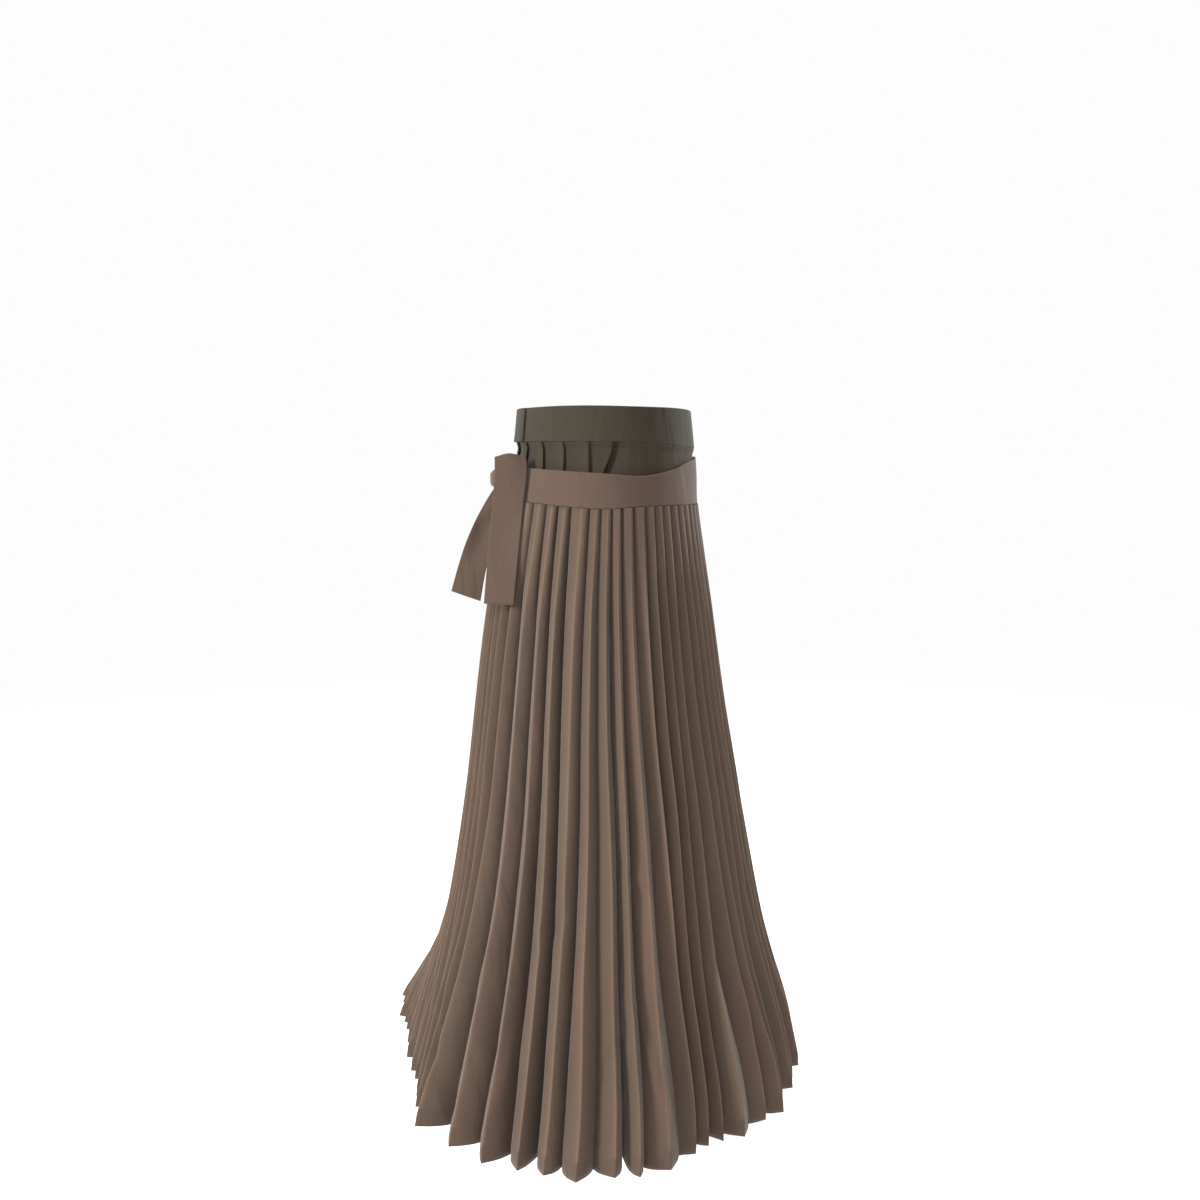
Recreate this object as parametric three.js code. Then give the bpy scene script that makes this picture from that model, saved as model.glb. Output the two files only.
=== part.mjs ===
import * as THREE from 'three';

// A long skirt as it hangs on a general figure: a plain waistband, a tucked upper skirt below it, and a
// pleated overskirt whose own band is tied at the back.
// Millimetres, +Z up. The origin is the middle of the waistband. The front faces -Y and the wearer's right
// is -X. A turn is an angle round the skirt in degrees: -90 is the front, 0 the wearer's right side, 90 the
// back and 180 the wearer's left side. Tables that stop at 90 are mirrored on the wearer's left.

// Cloth and seams
const SEAM = 0.3;
const CLOTH = 1.5;
const BAND_CLOTH = 2;
const WAISTBAND_CLOTH = 2.5;
const TIE_CLOTH = 2;

// The outline all round: how far the skirt reaches forward, back and to each side at a height
const OUTLINE = [
  { z: 22, front: 105.5, back: 106, side: 128 },
  { z: -20, front: 110, back: 110, side: 133 },
  { z: -50, front: 112.5, back: 116, side: 142 },
  { z: -90, front: 114.5, back: 121, side: 151 },
  { z: -150, front: 123, back: 133, side: 159 },
  { z: -222, front: 134, back: 147, side: 168 },
  { z: -343, front: 151, back: 162.5, side: 186 },
  { z: -447, front: 169, back: 175, side: 203 },
  { z: -553, front: 187, back: 190, side: 223 },
  { z: -620, front: 201, back: 203, side: 240 },
  { z: -690, front: 221, back: 220, side: 262 },
  { z: -742, front: 236, back: 233, side: 282 },
  { z: -800, front: 248, back: 247, side: 301 },
  { z: -815, front: 251, back: 251, side: 305 },
];
const BAND_SIDE = 151;

// The hem's height at a turn
const HEM = [
  { turn: -90, z: -797 },
  { turn: -50, z: -799 },
  { turn: -25, z: -801 },
  { turn: 0, z: -802 },
  { turn: 25, z: -805 },
  { turn: 48, z: -806 },
  { turn: 68, z: -798 },
  { turn: 90, z: -796 },
];

// The hem kicks out just past the centre back: the full turn, and how far the pleats stand out at
// KICK_FULL
const KICK = [
  { turn: -90, out: 0 },
  { turn: 78, out: 0 },
  { turn: 90, out: 10 },
  { turn: 98, out: 24 },
  { turn: 108, out: 49 },
  { turn: 116, out: 64 },
  { turn: 128, out: 46 },
  { turn: 145, out: 10 },
  { turn: 160, out: 0 },
  { turn: 270, out: 0 },
];
const KICK_FROM = -600;
const KICK_FULL = -800;
const KICK_CURVE = 1.3;

// Heights of the two edges of the waistband
const WAIST_TOP = { front: 20.5, side: 21, back: 22 };
const WAIST_SEAM = { front: -26, side: -19, back: -18 };
const LAP_END = 61;
const LAP_UNDER = 24;
const LAP_EASE = 26;
const WAISTBAND_STEPS = 72;
const WAISTBAND_ROWS = 2;

// Edges of the overskirt's band, which rises and widens into a plain front
const OVERSKIRT_BAND = [
  { turn: -90, top: -35, bottom: -93 },
  { turn: -60, top: -43, bottom: -92.5 },
  { turn: -45, top: -51, bottom: -92 },
  { turn: -24, top: -58, bottom: -92.5 },
  { turn: 0, top: -55, bottom: -94.5 },
  { turn: 43, top: -50, bottom: -89 },
  { turn: 70, top: -48, bottom: -86 },
  { turn: 90, top: -47.5, bottom: -85 },
];
const BAND_STEPS = 64;
const BAND_ROWS = 3;
const KNOT_TURN = 70;

// Tucks of the upper skirt: the turn of each folded edge, how far its lower end leans back, and its depth
const TUCKS = [
  { turn: -4.5, lean: 5, depth: 8 },
  { turn: 10, lean: -1, depth: 4 },
  { turn: 26.5, lean: -0.5, depth: 4 },
  { turn: 42.5, lean: -1.5, depth: 4 },
  { turn: 59, lean: 1, depth: 4 },
  { turn: 75.5, lean: 0, depth: 4 },
];
const TUCK_STEP = 1.8;
const CENTRE_BACK_TUCK = 3;
// A tuck leans between these shares of the way down. Its depth swells from a share of the whole and back.
const TUCK_LEANS = { from: 0.1, to: 0.6 };
const TUCK_SWELL = { least: 0.2, from: 0.12, to: 0.94 };
// The upper skirt lies inside the waistband's outer face, goes in to clear the overskirt's band, and hangs
// further in at the sides
const YOKE_INSET = 0.6;
const YOKE_CLEARED_AT = 0.12;
const YOKE_GAP = 6;
const YOKE_OVERLAP = 4;
const YOKE_ROWS = 8;
const YOKE_PLAIN_TURNS = { from: -80, to: -20, steps: 6 };

// Pleats of the overskirt, from the centre front to the centre back: the turn of each inner fold at the
// band and at the hem, and how far the outer fold behind it stands out at the hem. An inner fold follows the
// two outer folds beside it by a share of how far each stands out.
const PLEATS = [
  { band: -90, hem: -90, lift: 2 },
  { band: -84, hem: -85, lift: -3 },
  { band: -78, hem: -80, lift: 3 },
  { band: -72, hem: -75, lift: -2 },
  { band: -66, hem: -69, lift: 4 },
  { band: -60, hem: -63, lift: -2 },
  { band: -54, hem: -58, lift: 9 },
  { band: -48, hem: -52, lift: -4 },
  { band: -42, hem: -46, lift: 4 },
  { band: -36, hem: -38.5, lift: -8 },
  { band: -30.5, hem: -33.5, lift: -15 },
  { band: -24.8, hem: -28.5, lift: -11 },
  { band: -17.6, hem: -21.5, lift: 1 },
  { band: -11, hem: -13, lift: 3 },
  { band: -5.3, hem: -5.2, lift: -3 },
  { band: 0.8, hem: 3.7, lift: 9 },
  { band: 7, hem: 12.3, lift: 2 },
  { band: 17, hem: 20.7, lift: 3 },
  { band: 25.5, hem: 29, lift: 12 },
  { band: 33, hem: 38, lift: 15 },
  { band: 42, hem: 48.5, lift: 26 },
  { band: 51, hem: 57, lift: 14 },
  { band: 57.5, hem: 61.5, lift: 8 },
  { band: 62.5, hem: 65.5, lift: 3 },
  { band: 67, hem: 69, lift: 3 },
  { band: 71, hem: 72.5, lift: 7 },
  { band: 75, hem: 76, lift: 3 },
  { band: 79, hem: 79.5, lift: 9 },
  { band: 82.7, hem: 83, lift: 1 },
  { band: 86.4, hem: 86.5, lift: 5 },
  { band: 90, hem: 90, lift: 0 },
];
const FOLLOW = 0.35;
const SIDE_SEAM_PLEAT = 14;
const PLEAT_ROWS = 15;
const PLEAT_ROW_CURVE = 0.92;
const PLEAT_TOP_OUT = 1;
const SWAY_FROM = -420;
const SWAY_CURVE = 1.5;
const PLEAT_DEPTH = [
  { z: -85, depth: 5 },
  { z: -222, depth: 9 },
  { z: -447, depth: 15 },
  { z: -633, depth: 21 },
  { z: -800, depth: 25 },
];

// The knot, and the two edges of each free end of the tie, from the knot down
const KNOT = { middle: -62, lean: 0.7, along: 36, out: 26, tall: 24, squareness: 0.7, round: 24, rings: 16 };
const TIE_NEAR = [
  { x1: -68.9, y1: 110.8, z1: -59, x2: -73.3, y2: 127.6, z2: -58 },
  { x1: -82, y1: 102, z1: -45, x2: -83, y2: 129, z2: -44 },
  { x1: -91, y1: 94, z1: -36, x2: -90, y2: 129, z2: -36 },
  { x1: -97, y1: 91, z1: -42, x2: -96, y2: 128.5, z2: -42 },
  { x1: -100, y1: 91.5, z1: -62, x2: -97, y2: 129, z2: -60 },
  { x1: -104, y1: 95, z1: -92, x2: -98, y2: 131.5, z2: -90 },
  { x1: -109, y1: 98, z1: -122, x2: -101, y2: 134.5, z2: -121 },
  { x1: -115, y1: 102, z1: -163, x2: -107, y2: 138, z2: -162 },
  { x1: -121, y1: 106, z1: -207, x2: -113, y2: 141.5, z2: -206 },
];
const TIE_FAR = [
  { x1: -52, y1: 118, z1: -74.5, x2: -54, y2: 134, z2: -74.5 },
  { x1: -50, y1: 125, z1: -98, x2: -51, y2: 144.5, z2: -91 },
  { x1: -48, y1: 132, z1: -124, x2: -47, y2: 158, z2: -115 },
  { x1: -47, y1: 139.5, z1: -151, x2: -44, y2: 170, z2: -142 },
  { x1: -46, y1: 146.5, z1: -181, x2: -42, y2: 179.5, z2: -170 },
  { x1: -45, y1: 152, z1: -211, x2: -41, y2: 188, z2: -199 },
];
const TIE_COLUMNS = 5;

// The value of a column at a place between the rows of a table, on a smooth curve through them
function smooth(rows, key, column, at) {
  const way = rows[rows.length - 1][key] > rows[0][key] ? 1 : -1;
  const place = (k) => rows[k][key] * way;
  let k = 0;
  while (k < rows.length - 2 && place(k + 1) < at * way) k += 1;
  const slope = (j) => {
    const before = Math.max(j - 1, 0);
    const after = Math.min(j + 1, rows.length - 1);
    return (rows[after][column] - rows[before][column]) / (place(after) - place(before));
  };
  const span = place(k + 1) - place(k);
  const t = THREE.MathUtils.clamp((at * way - place(k)) / span, 0, 1);
  const low = rows[k][column];
  const high = rows[k + 1][column];
  const ease = t * t * (3 - 2 * t);
  const bend = (t * t * t - 2 * t * t + t) * slope(k) + (t * t * t - t * t) * slope(k + 1);
  return low + (high - low) * ease + bend * span;
}

// The same turn on the wearer's right half, where the tables are
function rightHalf(turn) {
  const wrapped = THREE.MathUtils.euclideanModulo(turn + 90, 360) - 90;
  return wrapped > 90 ? 180 - wrapped : wrapped;
}

// The outline's point at a turn and height, moved out along the outline's normal
function onOutline(turn, z, out = 0) {
  const front = smooth(OUTLINE, 'z', 'front', z);
  const back = smooth(OUTLINE, 'z', 'back', z);
  const side = smooth(OUTLINE, 'z', 'side', z);
  const deep = (front + back) / 2;
  const angle = THREE.MathUtils.degToRad(turn);
  const normal = new THREE.Vector3(-Math.cos(angle) / side, Math.sin(angle) / deep, 0).normalize();
  const point = new THREE.Vector3(-side * Math.cos(angle), (back - front) / 2 + deep * Math.sin(angle), z);
  return point.addScaledVector(normal, out);
}

// A height that runs smoothly from the front by the side to the back
function levelAt(level, turn) {
  const sine = Math.sin(THREE.MathUtils.degToRad(turn));
  const end = sine > 0 ? level.back : level.front;
  return level.side + (end - level.side) * sine * sine;
}

function bandEdge(column, turn) {
  return smooth(OVERSKIRT_BAND, 'turn', column, rightHalf(turn));
}

// A closed wall from its outer and inner points, in rows from the top down. A ring's last column joins its
// first.
function wallGeometry(outer, inner, isRing) {
  const rows = outer.length;
  const columns = outer[0].length;
  const positions = [...outer.flat(), ...inner.flat()].flatMap((point) => point.toArray());
  const indices = [];
  const at = (side, row, column) => side * rows * columns + row * columns + (column % columns);
  const face = (a, b, c, d) => indices.push(a, b, c, a, c, d);
  for (let c = 0; c < (isRing ? columns : columns - 1); c += 1) {
    for (let r = 0; r < rows - 1; r += 1) {
      face(at(0, r, c), at(0, r, c + 1), at(0, r + 1, c + 1), at(0, r + 1, c));
      face(at(1, r, c), at(1, r + 1, c), at(1, r + 1, c + 1), at(1, r, c + 1));
    }
    face(at(0, 0, c), at(1, 0, c), at(1, 0, c + 1), at(0, 0, c + 1));
    face(at(0, rows - 1, c), at(0, rows - 1, c + 1), at(1, rows - 1, c + 1), at(1, rows - 1, c));
  }
  if (!isRing) {
    const last = columns - 1;
    for (let r = 0; r < rows - 1; r += 1) {
      face(at(0, r, 0), at(0, r + 1, 0), at(1, r + 1, 0), at(1, r, 0));
      face(at(0, r, last), at(1, r, last), at(1, r + 1, last), at(0, r + 1, last));
    }
  }
  const geometry = new THREE.BufferGeometry();
  geometry.setAttribute('position', new THREE.Float32BufferAttribute(positions, 3));
  geometry.setIndex(indices);
  geometry.computeVertexNormals();
  return geometry;
}

// Evenly spaced turns, both ends included
function turns(from, to, count) {
  return Array.from({ length: count + 1 }, (_, k) => from + ((to - from) * k) / count);
}

// The waistband is one strip whose outer end laps over its inner end, just right of the centre back
function waistband() {
  const lapped = WAISTBAND_CLOTH + SEAM;
  const lapEnd = LAP_END + LAP_UNDER;
  const outer = [];
  const inner = [];
  for (let r = 0; r <= WAISTBAND_ROWS; r += 1) {
    const points = turns(LAP_END, LAP_END + 360 + LAP_UNDER, WAISTBAND_STEPS).map((turn) => {
      const settled = THREE.MathUtils.smoothstep(turn, lapEnd, lapEnd + LAP_EASE);
      const z = THREE.MathUtils.lerp(levelAt(WAIST_TOP, turn), levelAt(WAIST_SEAM, turn), r / WAISTBAND_ROWS);
      return { turn, z, out: lapped * (1 - settled) };
    });
    outer.push(points.map(({ turn, z, out }) => onOutline(turn, z, out)));
    inner.push(points.map(({ turn, z, out }) => onOutline(turn, z, out - WAISTBAND_CLOTH)));
  }
  return wallGeometry(outer, inner, false);
}

// Turns round the upper skirt on the wearer's right, each with the depth that it lies below the folded
// edges
function yokeColumns(sewn) {
  const { from, to, steps } = YOKE_PLAIN_TURNS;
  const columns = [-90, ...turns(from, to, steps)].map((turn) => ({ turn, sunk: 0 }));
  TUCKS.forEach((tuck, k) => {
    const edge = tuck.turn + tuck.lean * sewn.lean;
    const depth = tuck.depth * sewn.depth;
    const next = TUCKS[k + 1];
    const nextEdge = next ? next.turn + next.lean * sewn.lean - TUCK_STEP : 90;
    const nextDepth = (next ? next.depth : CENTRE_BACK_TUCK) * sewn.depth;
    columns.push({ turn: edge - TUCK_STEP, sunk: depth });
    columns.push({ turn: edge, sunk: 0 });
    for (const part of [1 / 3, 2 / 3]) {
      columns.push({ turn: edge + (nextEdge - edge) * part, sunk: nextDepth * part * part });
    }
  });
  columns.push({ turn: 90, sunk: CENTRE_BACK_TUCK * sewn.depth });
  return columns;
}

// The upper skirt hangs from the waistband inside the overskirt's band, clear of it at the sides, and is
// sewn to its lower edge
function yoke() {
  const outer = [];
  const inner = [];
  for (let r = 0; r <= YOKE_ROWS; r += 1) {
    const down = r / YOKE_ROWS;
    const swell = Math.sin(Math.PI * THREE.MathUtils.lerp(TUCK_SWELL.from, TUCK_SWELL.to, down));
    const sewn = {
      lean: THREE.MathUtils.smoothstep(down, TUCK_LEANS.from, TUCK_LEANS.to),
      depth: THREE.MathUtils.lerp(TUCK_SWELL.least, 1, swell),
    };
    const right = yokeColumns(sewn);
    const left = right.slice(1, -1).reverse().map(({ turn, sunk }) => ({ turn: 180 - turn, sunk }));
    const points = [...right, ...left].map(({ turn, sunk }) => {
      const top = levelAt(WAIST_SEAM, turn) - SEAM;
      const z = THREE.MathUtils.lerp(top, bandEdge('bottom', turn) + YOKE_OVERLAP, down);
      const beside = Math.cos(THREE.MathUtils.degToRad(turn)) ** 2;
      const under = (BAND_CLOTH + SEAM) * THREE.MathUtils.smoothstep(down, 0, YOKE_CLEARED_AT);
      const clear = YOKE_GAP * beside * Math.sin(Math.PI * down);
      return { turn, z, out: -YOKE_INSET - under - clear - sunk };
    });
    outer.push(points.map(({ turn, z, out }) => onOutline(turn, z, out)));
    inner.push(points.map(({ turn, z, out }) => onOutline(turn, z, out - CLOTH)));
  }
  return wallGeometry(outer, inner, true);
}

// The overskirt's band is one strip whose ends meet under the knot
function overskirtBand() {
  const half = THREE.MathUtils.radToDeg(SEAM / BAND_SIDE);
  const outer = [];
  const inner = [];
  for (let r = 0; r <= BAND_ROWS; r += 1) {
    const points = turns(KNOT_TURN + half, KNOT_TURN + 360 - half, BAND_STEPS).map((turn) => {
      const z = THREE.MathUtils.lerp(bandEdge('top', turn), bandEdge('bottom', turn), r / BAND_ROWS);
      return { turn, z };
    });
    outer.push(points.map(({ turn, z }) => onOutline(turn, z)));
    inner.push(points.map(({ turn, z }) => onOutline(turn, z, -BAND_CLOTH)));
  }
  return wallGeometry(outer, inner, false);
}

// The folds of the overskirt on the wearer's right, inner and outer in turn, from the centre front to the
// back. An outer fold lies half-way between its inner folds, and a reach is the turn from a fold to its
// nearer one.
function pleatFolds() {
  const folds = [];
  PLEATS.forEach((pleat, k) => {
    const before = PLEATS[Math.max(k - 1, 0)];
    const next = PLEATS[k + 1];
    folds.push({ ...pleat, lift: (before.lift + pleat.lift) * FOLLOW, isCrest: false, isLeft: false });
    if (next) {
      const band = (pleat.band + next.band) / 2;
      const hem = (pleat.hem + next.hem) / 2;
      folds.push({ band, hem, lift: pleat.lift, isCrest: true, isLeft: false });
    }
  });
  const reach = (key, k) => {
    const beside = [folds[k - 1], folds[k + 1]].filter((fold) => fold !== undefined);
    return Math.min(...beside.map((fold) => Math.abs(fold[key] - folds[k][key])));
  };
  return folds.map((fold, k) => ({ ...fold, bandReach: reach('band', k), hemReach: reach('hem', k) }));
}

// How far the kick moves the pleats out at a turn and height
function kickAt(turn, z) {
  const out = smooth(KICK, 'turn', 'out', THREE.MathUtils.euclideanModulo(turn + 90, 360) - 90);
  return out * Math.max(0, (KICK_FROM - z) / (KICK_FROM - KICK_FULL)) ** KICK_CURVE;
}

// Where a fold lies at a share of the way down, and how thick the cloth is there along the outline's
// normal. The inset is how many seam gaps it moves round the skirt.
function pleatPoint(fold, down, inset) {
  const topZ = bandEdge('bottom', fold.band) - SEAM;
  const hemZ = smooth(HEM, 'turn', 'z', fold.hem);
  const z = THREE.MathUtils.lerp(topZ, hemZ, down);
  const sway = THREE.MathUtils.clamp((SWAY_FROM - z) / (SWAY_FROM - hemZ), 0, 1) ** SWAY_CURVE;
  const rightTurn = THREE.MathUtils.lerp(fold.band, fold.hem, down);
  const turn = fold.isLeft ? 180 - rightTurn : rightTurn;
  const depth = smooth(PLEAT_DEPTH, 'z', 'depth', z);
  const reach = THREE.MathUtils.degToRad(THREE.MathUtils.lerp(fold.bandReach, fold.hemReach, down));
  const across = reach * smooth(OUTLINE, 'z', 'side', z);
  const through = CLOTH / Math.sin(Math.atan(across / depth));
  const out = PLEAT_TOP_OUT + fold.lift * sway + kickAt(turn, z) - (fold.isCrest ? 0 : depth);
  const apart = THREE.MathUtils.radToDeg(SEAM / smooth(OUTLINE, 'z', 'front', z)) * inset;
  return { turn: turn + apart, z, out, through };
}

// A pleated panel between two seams, in columns round the skirt. Its first and last folds make room for
// the seams.
function pleatedPanel(folds) {
  const outer = [];
  const inner = [];
  const inset = (k) => (k === 0 ? 0.5 : 0) - (k === folds.length - 1 ? 0.5 : 0);
  for (let r = 0; r <= PLEAT_ROWS; r += 1) {
    const down = (r / PLEAT_ROWS) ** PLEAT_ROW_CURVE;
    const points = folds.map((fold, k) => pleatPoint(fold, down, inset(k)));
    outer.push(points.map(({ turn, z, out }) => onOutline(turn, z, out)));
    inner.push(points.map(({ turn, z, out, through }) => onOutline(turn, z, out - through)));
  }
  return wallGeometry(outer, inner, false);
}

// Four panels, sewn together in the inner folds at the centre front, at the centre back and nearest each
// side
function overskirtPanels() {
  const folds = pleatFolds();
  const leftOf = (list) => list.map((fold) => ({ ...fold, isLeft: true })).reverse();
  const front = folds.slice(0, 2 * SIDE_SEAM_PLEAT + 1);
  const back = folds.slice(2 * SIDE_SEAM_PLEAT);
  return {
    frontRight: pleatedPanel(front),
    backRight: pleatedPanel(back),
    backLeft: pleatedPanel(leftOf(back)),
    frontLeft: pleatedPanel(leftOf(front)),
  };
}

// The knot is a rounded lump of wound cloth that sits on the ends of the band
function knot() {
  const geometry = new THREE.SphereGeometry(1, KNOT.round, KNOT.rings);
  const position = geometry.attributes.position;
  const seat = onOutline(KNOT_TURN, KNOT.middle);
  const normal = onOutline(KNOT_TURN, KNOT.middle, 1).sub(seat);
  const middle = onOutline(KNOT_TURN, KNOT.middle, SEAM + KNOT.lean + KNOT.out / 2);
  const beside = new THREE.Vector3(-normal.y, normal.x, 0);
  const square = (value) => Math.sign(value) * Math.abs(value) ** KNOT.squareness;
  for (let k = 0; k < position.count; k += 1) {
    const direction = new THREE.Vector3().fromBufferAttribute(position, k);
    const shaped = new THREE.Vector3(square(direction.x), square(direction.z), square(direction.y));
    const point = middle.clone();
    point.addScaledVector(beside, (shaped.x * KNOT.along) / 2);
    point.addScaledVector(normal, (shaped.y * KNOT.out) / 2);
    point.z += (shaped.z * KNOT.tall) / 2;
    position.setXYZ(k, point.x, point.y, point.z);
  }
  geometry.computeVertexNormals();
  return geometry;
}

// A free end of the tie, a flat strip between its two edges. The cloth lies on the inner side of the
// edges.
function tieEnd(rows) {
  const grid = rows.map((row) => {
    const near = new THREE.Vector3(row.x1, row.y1, row.z1);
    const far = new THREE.Vector3(row.x2, row.y2, row.z2);
    return turns(0, 1, TIE_COLUMNS - 1).map((part) => near.clone().lerp(far, part));
  });
  const lifted = grid.map((line, r) => line.map((point) => {
    const before = grid[Math.max(r - 1, 0)][0];
    const after = grid[Math.min(r + 1, grid.length - 1)][0];
    const down = after.clone().sub(before).normalize();
    const across = line[TIE_COLUMNS - 1].clone().sub(line[0]).normalize();
    return point.clone().addScaledVector(down.cross(across).normalize(), TIE_CLOTH);
  }));
  return wallGeometry(grid, lifted, false);
}

function cloth(colour) {
  return new THREE.MeshStandardMaterial({
    color: colour,
    roughness: 0.9,
    metalness: 0,
    side: THREE.DoubleSide,
  });
}

const DARK_BAND = 0x574f40;
const DARK_CLOTH = 0x4a3e31;
const TAUPE_BAND = 0x786357;
const TAUPE_PLEATS = 0x73624f;
const TAUPE_TIE = 0x6f5d50;

const skirt = new THREE.Group();

function add(name, geometry, colour) {
  const mesh = new THREE.Mesh(geometry, cloth(colour));
  mesh.name = name;
  skirt.add(mesh);
}

const panels = overskirtPanels();
add('waistband', waistband(), DARK_BAND);
add('yoke', yoke(), DARK_CLOTH);
add('overskirt_band', overskirtBand(), TAUPE_BAND);
add('overskirt_front_right', panels.frontRight, TAUPE_PLEATS);
add('overskirt_front_left', panels.frontLeft, TAUPE_PLEATS);
add('overskirt_back_right', panels.backRight, TAUPE_PLEATS);
add('overskirt_back_left', panels.backLeft, TAUPE_PLEATS);
add('tie_knot', knot(), TAUPE_TIE);
add('tie_end_near', tieEnd(TIE_NEAR), TAUPE_TIE);
add('tie_end_far', tieEnd(TIE_FAR), TAUPE_TIE);

export default skirt;
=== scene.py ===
import math

import bmesh
import bpy
import numpy as np
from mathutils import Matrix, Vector

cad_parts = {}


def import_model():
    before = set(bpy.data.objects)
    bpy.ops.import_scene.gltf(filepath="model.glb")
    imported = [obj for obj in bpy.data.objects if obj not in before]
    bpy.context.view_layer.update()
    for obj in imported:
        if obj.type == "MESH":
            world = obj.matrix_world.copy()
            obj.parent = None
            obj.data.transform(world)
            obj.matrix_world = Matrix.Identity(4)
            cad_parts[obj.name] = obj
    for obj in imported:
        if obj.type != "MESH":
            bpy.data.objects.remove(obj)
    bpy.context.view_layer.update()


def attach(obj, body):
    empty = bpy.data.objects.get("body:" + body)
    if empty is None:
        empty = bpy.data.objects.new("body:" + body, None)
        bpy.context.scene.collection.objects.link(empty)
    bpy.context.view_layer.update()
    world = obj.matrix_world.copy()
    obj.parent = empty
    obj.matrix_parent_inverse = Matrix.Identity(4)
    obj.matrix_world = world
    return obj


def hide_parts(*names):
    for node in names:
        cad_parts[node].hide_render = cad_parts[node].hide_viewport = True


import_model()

# The part's sizes, in millimetres, with the same origin and axes as the frame.
# A turn is an angle round the skirt in degrees: -90 is the front, 0 the wearer's right side, 90 the back
# and 180 the wearer's left side. Tables that stop at 90 are mirrored on the wearer's left.
MM = 0.001
SEAM = 0.3
CLOTH = 1.1
HEM_FOLD = 0.8
BAND_CLOTH = 2.0
WAISTBAND_CLOTH = 2.5
TIE_CLOTH = 2.0

# How far the skirt reaches forward, back and to each side at a height: z, front, back, side
OUTLINE = (
    (22, 105.5, 106, 128),
    (-20, 110, 110, 133),
    (-50, 112.5, 116, 142),
    (-90, 114.5, 121, 151),
    (-150, 123, 133, 159),
    (-222, 134, 147, 168),
    (-343, 151, 162.5, 186),
    (-447, 169, 175, 203),
    (-553, 187, 190, 223),
    (-620, 201, 203, 240),
    (-690, 221, 220, 262),
    (-742, 236, 233, 282),
    (-800, 248, 247, 301),
    (-815, 251, 251, 305),
)
# turn, height of the hem
HEM = (
    (-90, -797),
    (-50, -799),
    (-25, -801),
    (0, -802),
    (25, -805),
    (48, -806),
    (68, -798),
    (90, -796),
)
# The hem kicks out just past the centre back: full turn, how far the pleats stand out at KICK_FULL
KICK = (
    (-90, 0),
    (78, 0),
    (90, 10),
    (98, 24),
    (108, 49),
    (116, 64),
    (128, 46),
    (145, 10),
    (160, 0),
    (270, 0),
)
KICK_FROM = -600
KICK_FULL = -800
KICK_CURVE = 1.3
# The kicked pleats stand out unevenly: share of the kick, waves round the skirt
KICK_RIPPLE = 0.15
KICK_WAVES = 43
# Edges of the waistband at the front, the side and the back
WAIST_TOP = (20.5, 21, 22)
WAIST_SEAM = (-26, -19, -18)
LAP_END = 61
LAP_UNDER = 24
LAP_EASE = 26
STRIP_COLUMNS = 330
# Waves round a band: how many, how high, phase
WAISTBAND_LEAN = ((3, 0.5, 0.6), (7, 0.3, 1.9))
WAISTBAND_TOP = ((2, 0.4, 1), (5, 0.25, 0))
BAND_LEAN = ((4, 0.5, 0.5), (9, 0.35, 2))
# turn, top and bottom edge of the overskirt's band
OVERSKIRT_BAND = (
    (-90, -35, -93),
    (-60, -43, -92.5),
    (-45, -51, -92),
    (-24, -58, -92.5),
    (0, -55, -94.5),
    (43, -50, -89),
    (70, -48, -86),
    (90, -47.5, -85),
)
BAND_SIDE = 151
WAIST_SIDE = 133
KNOT_TURN = 70
# turn of each tuck's folded edge, how far its lower end leans back, how deep it lies and how far it folds
# under
TUCKS = (
    (-4.5, 5, 8, 7),
    (10, -1, 4, 7),
    (26.5, -0.5, 4, 7),
    (42.5, -1.5, 4, 7),
    (59, 1, 4, 7),
    (75.5, 0, 4, 7),
)
# The cloth's way round a tuck's folded edge: turn aside, share of the fold under it, share of the depth,
# and what is added to the depth
TUCK_FOLD = (
    (-1.6, 0, 0.9, 0),
    (-0.2, 0, 1, 0),
    (0, 1, 1, 0.6),
    (0.2, 1, 0.5, 0.5),
    (0, 0.5, 0.4, 0.2),
    (0.25, 0, 0, 0.55),
    (0, 0, 0, 0.25),
    (0.2, 0, 0, 0),
)
TUCK_FACE_PARTS = (0.1, 0.2, 0.35, 0.5, 0.65, 0.8, 0.9)
TUCK_FACE_CURVE = 2.2
TUCK_MOUTH = 1.6
CENTRE_BACK_TUCK = 3
TUCK_LEANS = (0.1, 0.6)
TUCK_SWELL = (0.2, 0.12, 0.94)
YOKE_CLOTH = 0.7
YOKE_ROWS = 40
YOKE_PLAIN_TO = -16
YOKE_PLAIN_STEPS = 22
YOKE_INSET = 0.6
YOKE_CLEARED_AT = 0.12
YOKE_GAP = 6
YOKE_OVERLAP = 4
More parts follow.
